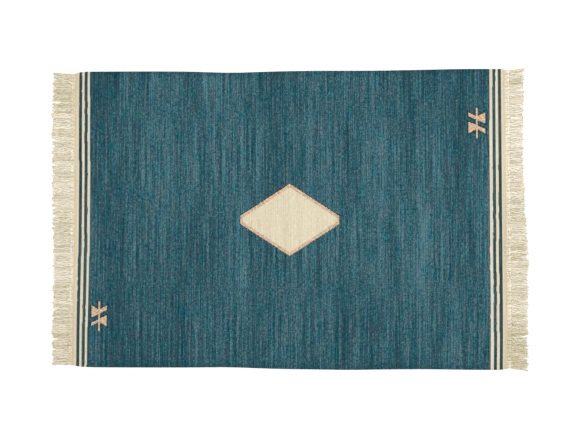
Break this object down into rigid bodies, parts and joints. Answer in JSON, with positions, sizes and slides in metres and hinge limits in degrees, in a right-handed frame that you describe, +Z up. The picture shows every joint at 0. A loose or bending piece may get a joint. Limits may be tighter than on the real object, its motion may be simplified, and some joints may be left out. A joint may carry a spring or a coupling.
{
  "type": "flatweave rug",
  "caption": "Rectangular hand-woven wool flatweave rug lying flat, with a centre lozenge, striped ends, small corner figures and a knotted warp fringe at both ends.",
  "frame": {"origin": "middle of the woven cloth, on its underside, which rests on the floor", "axes": "+X along the warps towards the right-hand fringe, +Y across the cloth towards the far selvedge, +Z up out of the face"},
  "size_m": [2.127, 1.3551, 0.0045],
  "materials": {
    "wool_cloth": "weft-faced woven wool",
    "warp_fringe": "plied undyed warp yarn"
  },
  "bodies": {
    "root": {"rug_cloth": "wool_cloth", "fringe_left": "warp_fringe", "fringe_right": "warp_fringe"}
  },
  "joints": []
}
